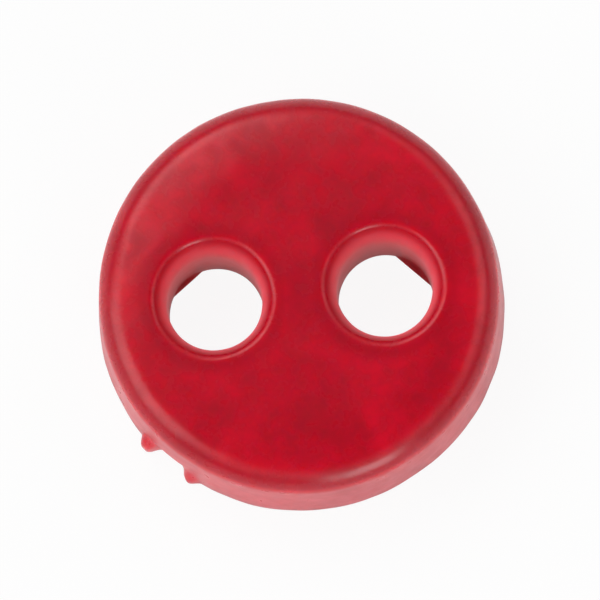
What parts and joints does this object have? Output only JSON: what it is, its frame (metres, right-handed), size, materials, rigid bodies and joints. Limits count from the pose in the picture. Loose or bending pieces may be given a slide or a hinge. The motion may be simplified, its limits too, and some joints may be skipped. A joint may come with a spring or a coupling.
{
  "type": "sewing button",
  "caption": "Small round sewing button with a flat back, a low-crowned front and a pair of flared thread holes.",
  "frame": {"origin": "centre of the flat back face, midway between the thread holes", "axes": "+X along the line of the thread holes, +Z out of the front, along the holes; the mark of the mould's gate lies on the rim between -X and -Y"},
  "size_m": [0.006, 0.006, 0.0017],
  "materials": {
    "dyed_plastic": "satin, crimson, dyed through and slightly translucent"
  },
  "bodies": {
    "root": {"button": "dyed_plastic"}
  },
  "joints": []
}
